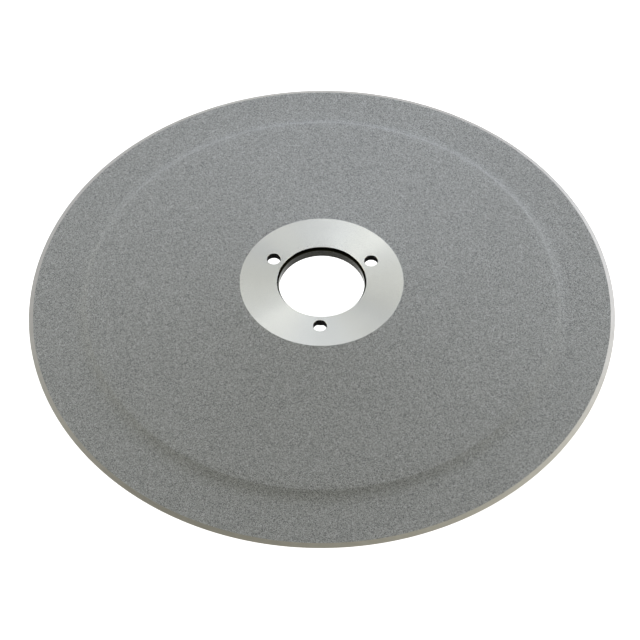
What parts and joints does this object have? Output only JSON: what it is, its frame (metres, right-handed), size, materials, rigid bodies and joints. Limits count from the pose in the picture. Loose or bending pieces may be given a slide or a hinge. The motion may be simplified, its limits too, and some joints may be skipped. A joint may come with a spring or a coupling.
{
  "type": "coated circular slicer blade",
  "caption": "Dished round steel disc with a bare turned hub ring, plain bore and screw holes, a speckled grit-like coating, a stepped outer land and a ground rim.",
  "frame": {"origin": "centre of the circle that the rim stands on", "axes": "+Z along the disc's spin axis, out of the front face at the hub; one screw hole lies towards -Y"},
  "size_m": [0.275, 0.275, 0.022],
  "materials": {
    "bare_steel": "turned hub face, fine concentric tool marks; ground bevel at the rim",
    "front_coating": "matt, fine light and dark speckle with a gritty relief",
    "rear_coating": "matt, fine speckle, the same as the front",
    "collar_steel": "smooth turned bore"
  },
  "bodies": {
    "root": {"disc_blank": "bare_steel", "front_coating": "front_coating", "rear_coating": "rear_coating", "centring_collar": "collar_steel"}
  },
  "joints": []
}
